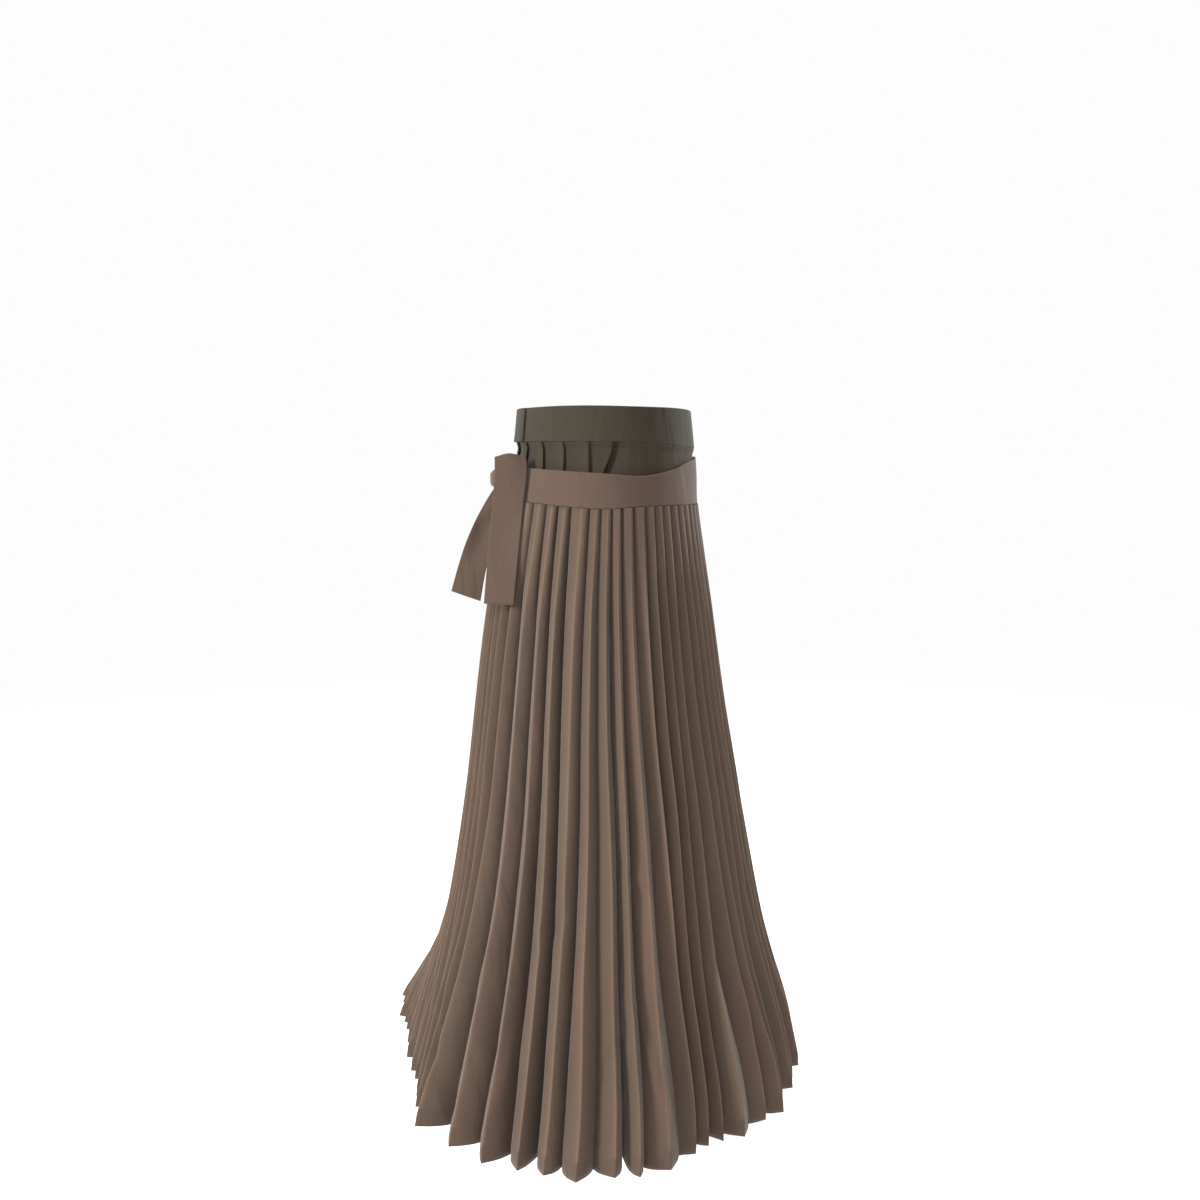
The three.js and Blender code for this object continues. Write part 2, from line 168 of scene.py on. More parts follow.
# Pleats from the centre front to the centre back: turn of an inner fold at the band and at the hem, turn
# at the hem of the outer fold behind it, how far that outer fold stands out, how much deeper than usual
# the inner fold is, and how far it is closed, from 0 for an open zigzag to 1 for a slit between flat faces
PLEATS = (
    (-90, -90, -87.5, 2, 0, 0.2),
    (-84, -85, -82.5, -3, -6, 0.1),
    (-78, -80, -77.5, 3, -8, 0.2),
    (-72, -75, -72, -2, 3, 0.1),
    (-66, -69, -66.5, 4, -8, 0.3),
    (-60, -63, -60.5, -2, 4, 0.1),
    (-54, -58, -55.5, 6, -6, 0.2),
    (-48, -52, -50.5, -3, 8, 0.5),
    (-42, -46, -40.5, -4, -8, 0.1),
    (-36, -37, -35.8, -17, 20, 0.3),
    (-30.5, -33.5, -31.2, -20, 20, 0.2),
    (-24.8, -27.6, -26.2, -16, 16, 0.5),
    (-17.6, -21.5, -17, -1, -4, 0.1),
    (-11, -10.6, -8.6, 2, -6, 0.3),
    (-5.3, -5.2, -2.5, -2, 20, 0.7),
    (0.8, 3.7, 7.4, 9, -3, 0.3),
    (7, 12.3, 15.5, 3, 0, 0.5),
    (18, 20.7, 22.5, 4, 20, 0.6),
    (25.7, 28.5, 31.5, 12, 3, 0.3),
    (33.5, 38, 42.5, 15, 7, 0.2),
    (43.5, 49.5, 53.5, 26, 10, 0.3),
    (53, 57, 59.6, 14, 9, 0.2),
    (59.5, 61.5, 63.8, 8, 6, 0.2),
    (64.5, 65.5, 67.4, 3, 9, 0.2),
    (68.5, 69, 71, 3, 5, 0.2),
    (72.3, 72.5, 74.4, 7, 8, 0.2),
    (76, 76, 77.8, 3, 5, 0.2),
    (79.6, 79.5, 81.4, 9, 8, 0.2),
    (83.1, 83, 84.9, 1, 0, 0.2),
    (86.6, 86.5, 88.3, 5, 3, 0.2),
    (90, 90, 90, 0, 0, 0.2),
)
FOLLOW = 0.35
SIDE_SEAM_PLEAT = 14
PLEAT_TOP_OUT = 1
SWAY_FROM = -420
SWAY_CURVE = 1.5
DEEPER_AT_TOP = 0.3
# z, depth of the pleats
PLEAT_DEPTH = ((-85, 6), (-222, 11), (-447, 16), (-633, 20), (-800, 22))
CLOSED_AT_BAND = 0.96
CREST_AT_BAND = 0.36
CLOSED_FROM = -95
CLOSED_TO = -260
SLIT_CURVE = 5
PANEL_ROWS = 130
PANEL_ROW_CURVE = 0.95
SEAM_REACH = 250
# Waves along the pleats: length, size, phase from one pleat to the next
PLEAT_WANDER = ((71, 1, 1.7), (33, 0.6, 2.9), (140, 0.8, 0.9))
PLEAT_WAVES = ((90, 1, 2.3), (41, 0.5, 1.1))
# How strong those are where the pleats are held, and how much stronger where they hang loose
WANDER_TURN = (0.05, 0.13)
WAVE_OUT = (0.15, 0.9)
HELD_TO = -130
LOOSE_FROM = -700
# The hem is pressed and turned in over this height
HEM_TALL = 22
HEM_IN = 2.2
HEM_THICK = (0.15, 0.3)
# How much painted shade darkens the hem
HEM_PAINTED_SHADE = 0.35
# Where the columns lie across a face, from its inner fold to its outer fold
FACE_PARTS = (0, 0.05, 0.11, 0.19, 0.3, 0.5, 0.8, 0.95)
# Soft creases across the faces: turn, z, reach across, reach along, slant in degrees, depth
CREASES = (
    (17, -560, 9, 40, 35, -2.6),
    (20, -575, 7, 34, -30, 2.2),
    (13, -520, 6, 60, 8, -1.0),
    (-1, -690, 7, 46, 30, -2.8),
    (-9, -500, 7, 40, -28, -2.6),
    (-14, -700, 9, 95, -24, 3.6),
    (-19, -745, 8, 70, -20, -3.4),
    (-20, -470, 6, 44, 18, -1.3),
    (30, -735, 8, 60, 14, 3.2),
    (36, -690, 8, 55, -18, -3.0),
    (43, -620, 7, 50, 26, 1.5),
    (50, -745, 10, 60, -34, -3.6),
    (60, -660, 8, 50, 20, 1.8),
    (74, -700, 9, 60, -26, -2.0),
    (-40, -640, 7, 44, 26, -1.6),
    (-52, -700, 9, 60, -18, 3.2),
    (-66, -560, 8, 54, 22, -1.6),
    (-78, -720, 9, 60, -24, 2.0),
    (24, -380, 5, 60, 6, -0.9),
    (-30, -360, 5, 60, -8, -0.9),
    (5, -330, 5, 70, 4, 0.8),
)


def smooth(rows, column, at):
    """The value of a column at places between the rows, on a smooth curve through them."""
    table = np.array(rows, float)
    way = 1 if table[-1, 0] > table[0, 0] else -1
    place, value = table[:, 0] * way, table[:, column]
    before = np.maximum(np.arange(len(place)) - 1, 0)
    after = np.minimum(np.arange(len(place)) + 1, len(place) - 1)
    slope = (value[after] - value[before]) / (place[after] - place[before])
    at = np.asarray(at, float) * way
    k = np.clip(np.searchsorted(place, at) - 1, 0, len(place) - 2)
    span = place[k + 1] - place[k]
    t = np.clip((at - place[k]) / span, 0, 1)
    ease = t * t * (3 - 2 * t)
    bend = (t**3 - 2 * t**2 + t) * slope[k] + (t**3 - t**2) * slope[k + 1]
    return value[k] + (value[k + 1] - value[k]) * ease + bend * span


def step(at, low, high):
    """A smooth step from 0 at low to 1 at high."""
    t = np.clip((np.asarray(at, float) - low) / (high - low), 0, 1)
    return t * t * (3 - 2 * t)


def right_half(turn):
    """The same turns on the wearer's right half, where the tables are."""
    wrapped = np.mod(np.asarray(turn, float) + 90, 360) - 90
    return np.where(wrapped > 90, 180 - wrapped, wrapped)


def on_outline(turn, z, out=0.0):
    """Points on the outline at turns and heights, moved out along its normal."""
    turn, z, out = np.broadcast_arrays(*(np.asarray(part, float) for part in (turn, z, out)))
    front, back, side = smooth(OUTLINE, 1, z), smooth(OUTLINE, 2, z), smooth(OUTLINE, 3, z)
    deep = (front + back) / 2
    angle = np.radians(turn)
    normal_x, normal_y = -np.cos(angle) / side, np.sin(angle) / deep
    length = np.hypot(normal_x, normal_y)
    x = -side * np.cos(angle) + out * normal_x / length
    y = (back - front) / 2 + deep * np.sin(angle) + out * normal_y / length
    return np.stack([x, y, z], -1)


def kick(turn, z):
    """How far the kick moves the pleats out."""
    out = smooth(KICK, 1, np.mod(turn + 90, 360) - 90)
    out = out * (1 + KICK_RIPPLE * np.sin(np.radians(turn * KICK_WAVES)))
    return out * np.maximum(0, (KICK_FROM - z) / (KICK_FROM - KICK_FULL)) ** KICK_CURVE


def level_at(level, turn):
    """A height that runs smoothly from the front by the side to the back."""
    front, side, back = level
    sine = np.sin(np.radians(turn))
    return side + (np.where(sine > 0, back, front) - side) * sine**2


def band_edge(column, turn):
    return smooth(OVERSKIRT_BAND, column, right_half(turn))


def waves_round(rows, angle):
    return sum(high * np.sin(count * angle + phase) for count, high, phase in rows)


def waves_along(rows, z, number):
    return sum(size * np.sin(z / length + number * phase) for length, size, phase in rows)


# Mesh making
def mesh_object(name, points, faces, cloth, fold, tint):
    """A smooth mesh from points in millimetres, with its place on the cloth in metres as a UV map."""
    mesh = bpy.data.meshes.new(name)
    mesh.from_pydata((points * MM).tolist(), [], faces.tolist())
    mesh.validate()
    layer = mesh.uv_layers.new(name="cloth")
    loops = np.empty(len(mesh.loops), np.int32)
    mesh.loops.foreach_get("vertex_index", loops)
    layer.data.foreach_set("uv", (cloth[loops] * MM).astype(np.float32).ravel())
    for attribute, values in (("fold", fold), ("tint", tint)):
        values = np.broadcast_to(np.asarray(values, np.float32), (len(points),))
        mesh.attributes.new(attribute, "FLOAT", "POINT").data.foreach_set("value", values)
    mesh.shade_smooth()
    obj = bpy.data.objects.new(name, mesh)
    bpy.context.scene.collection.objects.link(obj)
    return obj


def lengths(points, axis):
    """Running length along one axis of a grid of points."""
    steps = np.linalg.norm(np.diff(points, axis=axis), axis=-1)
    start = np.zeros_like(np.take(steps, [0], axis))
    return np.concatenate([start, np.cumsum(steps, axis)], axis)


def shell(name, outer, inner, ring, fold, tint=None):
    """A closed thin wall between two grids, in rows from the top down and columns round the skirt."""
    rows, columns = outer.shape[:2]
    index = np.arange(2 * rows * columns).reshape(2, rows, columns)
    if ring:
        index = np.concatenate([index, index[:, :, :1]], 2)
    out, inn = index
    quads = [
        np.stack([out[:-1, :-1], out[:-1, 1:], out[1:, 1:], out[1:, :-1]], -1),
        np.stack([inn[:-1, :-1], inn[1:, :-1], inn[1:, 1:], inn[:-1, 1:]], -1),
        np.stack([out[0, :-1], inn[0, :-1], inn[0, 1:], out[0, 1:]], -1),
        np.stack([out[-1, :-1], out[-1, 1:], inn[-1, 1:], inn[-1, :-1]], -1),
    ]
    if not ring:
        quads.append(np.stack([out[:-1, 0], out[1:, 0], inn[1:, 0], inn[:-1, 0]], -1))
        quads.append(np.stack([out[:-1, -1], inn[:-1, -1], inn[1:, -1], out[1:, -1]], -1))
    faces = np.concatenate([quad.reshape(-1, 4) for quad in quads])
    points = np.concatenate([outer.reshape(-1, 3), inner.reshape(-1, 3)])
    cloth = np.stack([lengths(outer, 1), -lengths(outer, 0)], -1).reshape(-1, 2)
    tint = np.zeros(fold.shape) if tint is None else tint
    fold, tint = (np.concatenate([values.ravel(), values.ravel()]) for values in (fold, tint))
    return mesh_object(name, points, faces, np.concatenate([cloth, cloth]), fold, tint)


# Strips: the share of the width that the close steps of an edge take, and how far in from the edge a
# painted highlight reaches
EDGE_PART = 0.06
EDGE_STEPS = 5
EDGE_HIGHLIGHT_REACH = 2.5


def round_edge(from_edge, radius):
    """How far a rounded edge of a radius lies back at distances from it."""
    inward = 1 - np.clip(from_edge / radius, 0, 1)
    return radius * (1 - np.sqrt(1 - inward**2))


def strip_parts(inside, count):
    """Places across a strip, close together at its two rounded edges."""
    edge = np.linspace(0, EDGE_PART, EDGE_STEPS)
    return np.concatenate([edge, np.linspace(inside, 1 - inside, count), 1 - edge[::-1]])


def edge_fold_highlight(from_edge):
    """The fold value of a strip, high along its folded edges, where the cloth gets a painted highlight."""
    return 1 - step(from_edge, 0, EDGE_HIGHLIGHT_REACH) * 0.5


def sewn_strip(name, outer_of, columns, thick, top, bottom):
    """A band of doubled cloth with soft folded edges, swept round the skirt.

    outer_of(turn, z, out) gives its points, columns its turns, and top and bottom its edges there.
    """
    across = strip_parts(0.12, 14)
    tall = top - bottom
    z = top - tall * across[:, None]
    from_edge = np.minimum(across, 1 - across)[:, None] * tall
    rounded = round_edge(from_edge, thick / 2)
    outer = outer_of(columns, z, -rounded)
    inner = outer_of(columns, z, rounded - thick)
    # Painted highlight along the folded edges of the strip
    fold = np.broadcast_to(edge_fold_highlight(from_edge), z.shape)
    return shell(name, outer, inner, False, fold)


def shown(obj, material, slot, *nodes):
    obj.data.materials.append(material)
    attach(obj, "root")
    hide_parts(*nodes)
    return obj


# Cloth
WEAVE_MM = 0.8
WAVE_REPEAT = 0.314
# How much each share gives to the tone, from the shaded colour at the low end to the lit one at the high
CLOUD_TONE = 0.4
THREAD_TONE = 0.2
# The fold attribute paints shade into inner folds, tucks and creases and light onto outer folds; raised to
# a high power it paints a thin highlight along folded edges
FOLD_PAINTED_LIGHT_AND_SHADE = 0.24
EDGE_PAINTED_HIGHLIGHT = 0.4
EDGE_HIGHLIGHT_CURVE = 14
TONE_RANGE = (0.2, 0.8)


def cloth_material(name, lit, shaded, other, sheen):
    """A matte woven cloth: twill, grain, slow changes of tone, wear creases as bumps, painted shade in its
    inner folds and painted light on its outer folds, with a painted highlight along folded edges.

    The tint attribute turns the lit colour to the other one.
    """
    material = bpy.data.materials.new(name)
    material.use_nodes = True
    nodes, links = material.node_tree.nodes, material.node_tree.links
    shader = nodes["Principled BSDF"]
    shader.inputs["Metallic"].default_value = 0
    shader.inputs["Sheen Weight"].default_value = sheen
    shader.inputs["Sheen Roughness"].default_value = 0.45
    shader.inputs["Sheen Tint"].default_value = (1, 0.93, 0.86, 1)
    shader.inputs["Specular IOR Level"].default_value = 0.22

    def node(kind, **values):
        made = nodes.new(kind)
        for key, value in values.items():
            if key in made.inputs:
                made.inputs[key].default_value = value
            else:
                setattr(made, key, value)
        return made

    def join(a, output, b, socket):
        links.new(a.outputs[output], b.inputs[socket])

    def maths(operation, first, second):
        made = node("ShaderNodeMath", operation=operation)
        for socket, value in enumerate((first, second)):
            if isinstance(value, (int, float)):
                made.inputs[socket].default_value = value
            else:
                links.new(value, made.inputs[socket])
        return made.outputs[0]

    place = node("ShaderNodeUVMap", uv_map="cloth")
    solid = node("ShaderNodeTexCoord")
    wave_scale = WAVE_REPEAT / (WEAVE_MM * MM)
    twill = node("ShaderNodeTexWave", wave_type="BANDS", bands_direction="DIAGONAL", Scale=wave_scale)
    join(place, "UV", twill, "Vector")
    weft = node("ShaderNodeTexWave", wave_type="BANDS", bands_direction="Y", Scale=wave_scale * 0.7)
    join(place, "UV", weft, "Vector")
    grain = node("ShaderNodeTexNoise", Scale=1400.0, Detail=3.0)
    join(solid, "Object", grain, "Vector")
    stretch = node("ShaderNodeMapping")
    stretch.inputs["Scale"].default_value = (14, 14, 3)
    join(solid, "Object", stretch, "Vector")
    cloud = node("ShaderNodeTexNoise", Scale=1.0, Detail=3.0, Roughness=0.55)
    join(stretch, "Vector", cloud, "Vector")
    fold = node("ShaderNodeAttribute", attribute_name="fold")

    woven = maths("MULTIPLY", twill.outputs["Fac"], 0.6)
    woven = maths("ADD", woven, maths("MULTIPLY", weft.outputs["Fac"], 0.4))
    threads = maths("ADD", maths("MULTIPLY", woven, 0.7), maths("MULTIPLY", grain.outputs["Fac"], 0.3))
    # Painted shade and painted highlight from the fold attribute
    edge = maths("POWER", fold.outputs["Fac"], EDGE_HIGHLIGHT_CURVE)
    tone = maths("MULTIPLY", cloud.outputs["Fac"], CLOUD_TONE)
    tone = maths("ADD", tone, maths("MULTIPLY", threads, THREAD_TONE))
    tone = maths("ADD", tone, maths("MULTIPLY", fold.outputs["Fac"], FOLD_PAINTED_LIGHT_AND_SHADE))
    tone = maths("ADD", tone, maths("MULTIPLY", edge, EDGE_PAINTED_HIGHLIGHT))
    spread = node("ShaderNodeMapRange")
    spread.inputs["From Min"].default_value, spread.inputs["From Max"].default_value = TONE_RANGE
    links.new(tone, spread.inputs["Value"])
    tint = node("ShaderNodeAttribute", attribute_name="tint")
    hue = node("ShaderNodeMix", data_type="RGBA")
    hue.inputs["A"].default_value = (*lit, 1)
    hue.inputs["B"].default_value = (*other, 1)
    join(tint, "Fac", hue, "Factor")
    colour = node("ShaderNodeMix", data_type="RGBA")
    colour.inputs["A"].default_value = (*shaded, 1)
    join(spread, "Result", colour, "Factor")
    links.new(hue.outputs["Result"], colour.inputs["B"])
    links.new(colour.outputs["Result"], shader.inputs["Base Color"])
    links.new(maths("ADD", 0.8, maths("MULTIPLY", threads, 0.14)), shader.inputs["Roughness"])
    lying = node("ShaderNodeMapping")
    lying.inputs["Scale"].default_value = (26, 26, 11)
    join(solid, "Object", lying, "Vector")
    crumple = node("ShaderNodeTexNoise", Scale=1.0, Detail=2.0, Roughness=0.5, Distortion=0.8)
    join(lying, "Vector", crumple, "Vector")
    worn = node("ShaderNodeBump", Strength=0.5, Distance=0.006)
    join(crumple, "Fac", worn, "Height")
    bump = node("ShaderNodeBump", Strength=0.35, Distance=0.0003)
    join(worn, "Normal", bump, "Normal")
    links.new(threads, bump.inputs["Height"])
    join(bump, "Normal", shader, "Normal")
    return material


# Each cloth's lit, shaded and other colour
DARK_BAND = ((0.020, 0.0148, 0.0075), (0.015, 0.011, 0.0056), (0.020, 0.0148, 0.0075))
DARK = ((0.019, 0.0132, 0.007), (0.012, 0.0084, 0.0045), (0.019, 0.0132, 0.007))
TAUPE = ((0.080, 0.0482, 0.033), (0.031, 0.0188, 0.0128), (0.069, 0.047, 0.0296))
TAUPE_PLAIN = ((0.054, 0.0322, 0.022), (0.043, 0.0255, 0.0175), (0.054, 0.0322, 0.022))
dark_band_cloth = cloth_material("dark_band_cloth", *DARK_BAND, 0.06)
dark_cloth = cloth_material("dark_cloth", *DARK, 0.05)
taupe_cloth = cloth_material("taupe_cloth", *TAUPE, 0.10)
taupe_plain = cloth_material("taupe_plain", *TAUPE_PLAIN, 0.10)


# Waistband
def waistband():
    """One strip whose outer end laps over its inner end, just right of the centre back."""
    lapped = WAISTBAND_CLOTH + SEAM
    lap_end = LAP_END + LAP_UNDER
    columns = np.linspace(LAP_END, LAP_END + 360 + LAP_UNDER, STRIP_COLUMNS)
    lift = lapped * (1 - step(columns, lap_end, lap_end + LAP_EASE))
    angle = np.radians(columns)
    soft = waves_round(WAISTBAND_LEAN, angle)

    def points(turn, z, out):
        lean = soft * step(z, -30, 25)
        return on_outline(turn, z, out + lift + lean)

    top = level_at(WAIST_TOP, columns) + waves_round(WAISTBAND_TOP, angle)
    bottom = level_at(WAIST_SEAM, columns)
    return sewn_strip("waistband_cloth", points, columns, WAISTBAND_CLOTH, top, bottom)


# Upper skirt
def yoke():
    """The tucked upper skirt. Each tuck folds under its edge, which points to the front."""
    down = np.linspace(0, 1, YOKE_ROWS)
    least, swell_from, swell_to = TUCK_SWELL
    opened = least + (1 - least) * np.sin(np.pi * (swell_from + (swell_to - swell_from) * down))
    leant = step(down, *TUCK_LEANS)
    turns, sunk = [], []

    def column(turn, depth):
        turns.append(np.broadcast_to(turn, (YOKE_ROWS,)).astype(float))
        sunk.append(np.broadcast_to(depth, (YOKE_ROWS,)).astype(float))

    for turn in np.linspace(-90, YOKE_PLAIN_TO, YOKE_PLAIN_STEPS):
        column(turn, 0.0)
    for k, (turn, lean, depth, under) in enumerate(TUCKS):
        edge = turn + lean * leant
        deep = depth * opened
        behind = math.degrees(under / WAIST_SIDE) * (1 - 0.5 * down)
        if k == 0:
            for part in (0.25, 0.5, 0.75):
                column(YOKE_PLAIN_TO + (edge - 2 - YOKE_PLAIN_TO) * part, deep * part**3)
        for aside, under_share, deep_share, more in TUCK_FOLD:
            column(edge + aside + behind * under_share, deep * deep_share + more)
        if k + 1 < len(TUCKS):
            next_turn, next_lean, next_depth, _ = TUCKS[k + 1]
            next_edge = next_turn + next_lean * leant - TUCK_MOUTH
        else:
            next_edge, next_depth = 90.0, CENTRE_BACK_TUCK
        for part in TUCK_FACE_PARTS:
            column(edge + (next_edge - edge) * part, next_depth * opened * part**TUCK_FACE_CURVE)
    column(90.0, CENTRE_BACK_TUCK * opened)
    right_turn, right_sunk = np.stack(turns, 1), np.stack(sunk, 1)
    turn = np.concatenate([right_turn, 180 - right_turn[:, -2:0:-1]], 1)
    depth = np.concatenate([right_sunk, right_sunk[:, -2:0:-1]], 1)
    z = level_at(WAIST_SEAM, turn) - SEAM
    z = z + (band_edge(2, turn) + YOKE_OVERLAP - z) * down[:, None]
    beside = np.cos(np.radians(turn)) ** 2
    under = (BAND_CLOTH + SEAM) * step(down, 0, YOKE_CLEARED_AT)[:, None]
    clear = YOKE_GAP * beside * np.sin(np.pi * down)[:, None]
    out = -YOKE_INSET - under - clear - depth
    outer, inner = on_outline(turn, z, out), on_outline(turn, z, out - YOKE_CLOTH)
    # Painted shade where the cloth sinks into the tucks, from a lower fold value there
    fold = 1 - step(depth, 0, 2.0) * 0.8
    return shell("yoke_cloth", outer, inner, True, fold)


# Overskirt band
def overskirt_band():
    """The plain taupe band, open under the knot."""
    gap = math.degrees(SEAM / BAND_SIDE)
    columns = np.linspace(KNOT_TURN + gap, KNOT_TURN + 360 - gap, STRIP_COLUMNS)
    wave = waves_round(BAND_LEAN, np.radians(columns))

    def points(turn, z, out):
        return on_outline(turn, z, out + wave * step(z, -100, -60))

    top, bottom = band_edge(1, columns), band_edge(2, columns)
    return sewn_strip("overskirt_band_cloth", points, columns, BAND_CLOTH, top, bottom)


# Pleated panels
def pleat_folds():
    """Inner and outer folds in turn on the wearer's right, from the centre front to the centre back.

    At the band an outer fold lies CREST_AT_BAND of the way from its inner fold to the next one. The
    columns are band turn, hem turn, 1 for an outer fold, lift, deeper and closed.
    """
    folds = []
    for k, (band, hem, crest_hem, lift, deeper, closed) in enumerate(PLEATS):
        before = PLEATS[max(k - 1, 0)]
        folds.append((band, hem, 0, (before[3] + lift) * FOLLOW, deeper, closed))
        if k + 1 < len(PLEATS):
            crest_band = band + (PLEATS[k + 1][0] - band) * CREST_AT_BAND
            folds.append((crest_band, crest_hem, 1, lift, 0, 0))
    return np.array(folds)


def creased(turn, z):
    """How far the soft creases move the cloth out."""
    out = np.zeros(np.shape(turn))
    half = right_half(turn)
    radius = smooth(OUTLINE, 3, z)
    for at, level, across, along, slant, depth in CREASES:
        aside = np.radians(half - at) * radius
        rise = z - level
        cosine, sine = math.cos(math.radians(slant)), math.sin(math.radians(slant))
        over = (aside * cosine + rise * sine) / across
        up = (rise * cosine - aside * sine) / along
        out += depth * np.exp(-(over**2) - up**2)
    return out


def pleated_panel(name, folds, is_left):
    """A panel between two seams, from its folds in order round the skirt."""
    down = np.linspace(0, 1, PANEL_ROWS)[:, None] ** PANEL_ROW_CURVE
    band, hem, crest, lift, deeper, closed = folds.T
    number = np.where(is_left & (np.abs(band) < 90), 120 - band / 3, 60 + band / 3)
    top = band_edge(2, band) - SEAM
    bottom = smooth(HEM, 1, hem)
    z = top + (bottom - top) * down
    sway = np.clip((SWAY_FROM - z) / (SWAY_FROM - bottom), 0, 1) ** SWAY_CURVE
    turn = band + (hem - band) * down
    turn = 180 - turn if is_left else turn
    depth = smooth(PLEAT_DEPTH, 1, z)
    half_pitch = math.pi * smooth(OUTLINE, 3, z) / (2 * (len(PLEATS) - 1))
    through = CLOTH / np.sin(np.arctan(half_pitch / depth))
    below_band = 1 - step(z, -230, -95)
    deepened = deeper * (sway + DEEPER_AT_TOP * below_band * (1 - sway))
    out = PLEAT_TOP_OUT + lift * sway + kick(turn, z) - np.where(crest > 0, 0, depth + deepened)
    loose = 1 - step(z, LOOSE_FROM, HELD_TO)
    turn = turn + waves_along(PLEAT_WANDER, z, number) * (WANDER_TURN[0] + WANDER_TURN[1] * loose)
    out = out + waves_along(PLEAT_WAVES, z, number) * (WAVE_OUT[0] + WAVE_OUT[1] * loose)

    pressed = 1 - step(z, CLOSED_TO, CLOSED_FROM)
    pressed = CLOSED_AT_BAND + (closed - CLOSED_AT_BAND) * pressed
    across = []
    for k in range(len(folds) - 1):
        low, high = (k + 1, k) if crest[k] else (k, k + 1)
        falling = (1, *FACE_PARTS[:0:-1])
        for up in falling if crest[k] else FACE_PARTS:
            part = 1 - up if crest[k] else up
            slit = 1 - (1 - up) ** SLIT_CURVE
            share = up + (slit - up) * pressed[:, low]
            across.append((
                turn[:, k] + (turn[:, k + 1] - turn[:, k]) * part,
                z[:, k] + (z[:, k + 1] - z[:, k]) * part,
                out[:, low] + (out[:, high] - out[:, low]) * share,
                through[:, k] + (through[:, k + 1] - through[:, k]) * part,
                np.full(PANEL_ROWS, up),
                np.full(PANEL_ROWS, number[k] + part * 0.01),
            ))
    last = np.ones(PANEL_ROWS)
    ends = (turn[:, -1], z[:, -1], out[:, -1], through[:, -1])
    across.append((*ends, last * crest[-1], last * number[-1]))
    # The fold value runs from 0 in an inner fold to 1 at an outer fold; the cloth paints shade into the
    # inner folds and a highlight along the outer ones from it
    turn, z, out, through, fold, face = (np.stack(values, 1) for values in zip(*across))
    apart = math.degrees(SEAM / SEAM_REACH) / 2
    turn[:, 0] += apart
    turn[:, -1] -= apart
    near_hem = 1 - step(z - z[-1], 0, HEM_TALL)
    out = out + creased(turn, z) * step(fold, 0, 0.3) - HEM_IN * near_hem**2
    through = through + HEM_FOLD * step(near_hem, *HEM_THICK)
    # Painted shade along the hem: the fold value is lowered there
    fold = fold * (1 - HEM_PAINTED_SHADE * step(near_hem, 0, 0.2))
    tint = 0.5 + 0.5 * np.sin(face * 2.4 + z / 260 + 1.3 * np.sin(z / 97 + face * 1.3))
    outer, inner = on_outline(turn, z, out), on_outline(turn, z, out - through)
    return shell(name, outer, inner, False, fold, tint)


def overskirt_panels():
    """Four panels, sewn together in inner folds at the centre front and back and nearest each side."""
    folds = pleat_folds()
    front, back = folds[: 2 * SIDE_SEAM_PLEAT + 1], folds[2 * SIDE_SEAM_PLEAT :]
    return (
        pleated_panel("overskirt_front_right_cloth", front, False),
        pleated_panel("overskirt_front_left_cloth", front[::-1], True),
        pleated_panel("overskirt_back_right_cloth", back, False),
        pleated_panel("overskirt_back_left_cloth", back[::-1], True),
    )


# Knot and ends of the tie
KNOT = {"middle": -62, "lean": 0.7, "along": 36, "out": 26, "tall": 24, "square": 0.7, "crease": 0.03}
TIE_ROWS = 90
# x, y, z of one edge and then of the other, from the knot down, and how far the middle stands up between
TIE_NEAR = (
    (-68.9, 110.8, -59, -73.3, 127.6, -58, 0.5),
    (-82, 102, -45, -83, 129, -44, 2.5),
    (-91, 94, -36, -90, 129, -36, 4),
    (-97, 91, -42, -96, 128.5, -42, 2.5),
    (-100, 91.5, -62, -97, 129, -60, 1.2),
    (-104, 95, -92, -98, 131.5, -90, 0.4),
    (-109, 98, -122, -101, 134.5, -121, -0.8),
    (-115, 102, -163, -107, 138, -162, -0.5),
    (-121, 106, -207, -113, 141.5, -206, 0.6),
)
TIE_FAR = (
    (-52, 118, -75, -54, 134, -75, 1),
    (-50, 125, -98, -51, 144.5, -91, 3),
    (-48, 132, -124, -47, 158, -115, -2.5),
    (-47, 139.5, -151, -44, 170, -142, -3),
    (-46, 146.5, -181, -42, 179.5, -170, 0.5),
    (-45, 152, -211, -41, 188, -199, 1),
)


def curve_through(rows, count):
    """Points on a smooth curve through the rows, evenly spaced by row number."""
    rows = np.array(rows, float)
    at = np.linspace(0, len(rows) - 1, count)
    table = np.concatenate([np.arange(len(rows))[:, None], rows], 1)
    return np.stack([smooth(table, column, at) for column in range(1, table.shape[1])], 1)


def tie_end(name, rows):
    """A flat strip of doubled cloth with soft folded edges, bowed between them."""
    edges = curve_through(rows, TIE_ROWS)
    near, far, bow = edges[:, :3], edges[:, 3:6], edges[:, 6:]
    part = strip_parts(0.14, 13)
    down = np.gradient(near, axis=0)
    across = far - near
    normal = np.cross(down, across)
    normal /= np.linalg.norm(normal, axis=1)[:, None]
    wide = np.linalg.norm(across, axis=1)[:, None]
    from_edge = np.minimum(part, 1 - part) * wide
    rounded = round_edge(from_edge, TIE_CLOTH / 2)
    bowed = bow * np.sin(np.pi * part) ** 1.5
    grid = near[:, None] + across[:, None] * part[:, None] - normal[:, None] * bowed[..., None]
    outer = grid + normal[:, None] * rounded[..., None]
    inner = grid + normal[:, None] * (TIE_CLOTH - rounded)[..., None]
    # Painted highlight along the folded edges of the tie
    return shell(name, outer, inner, False, edge_fold_highlight(from_edge))


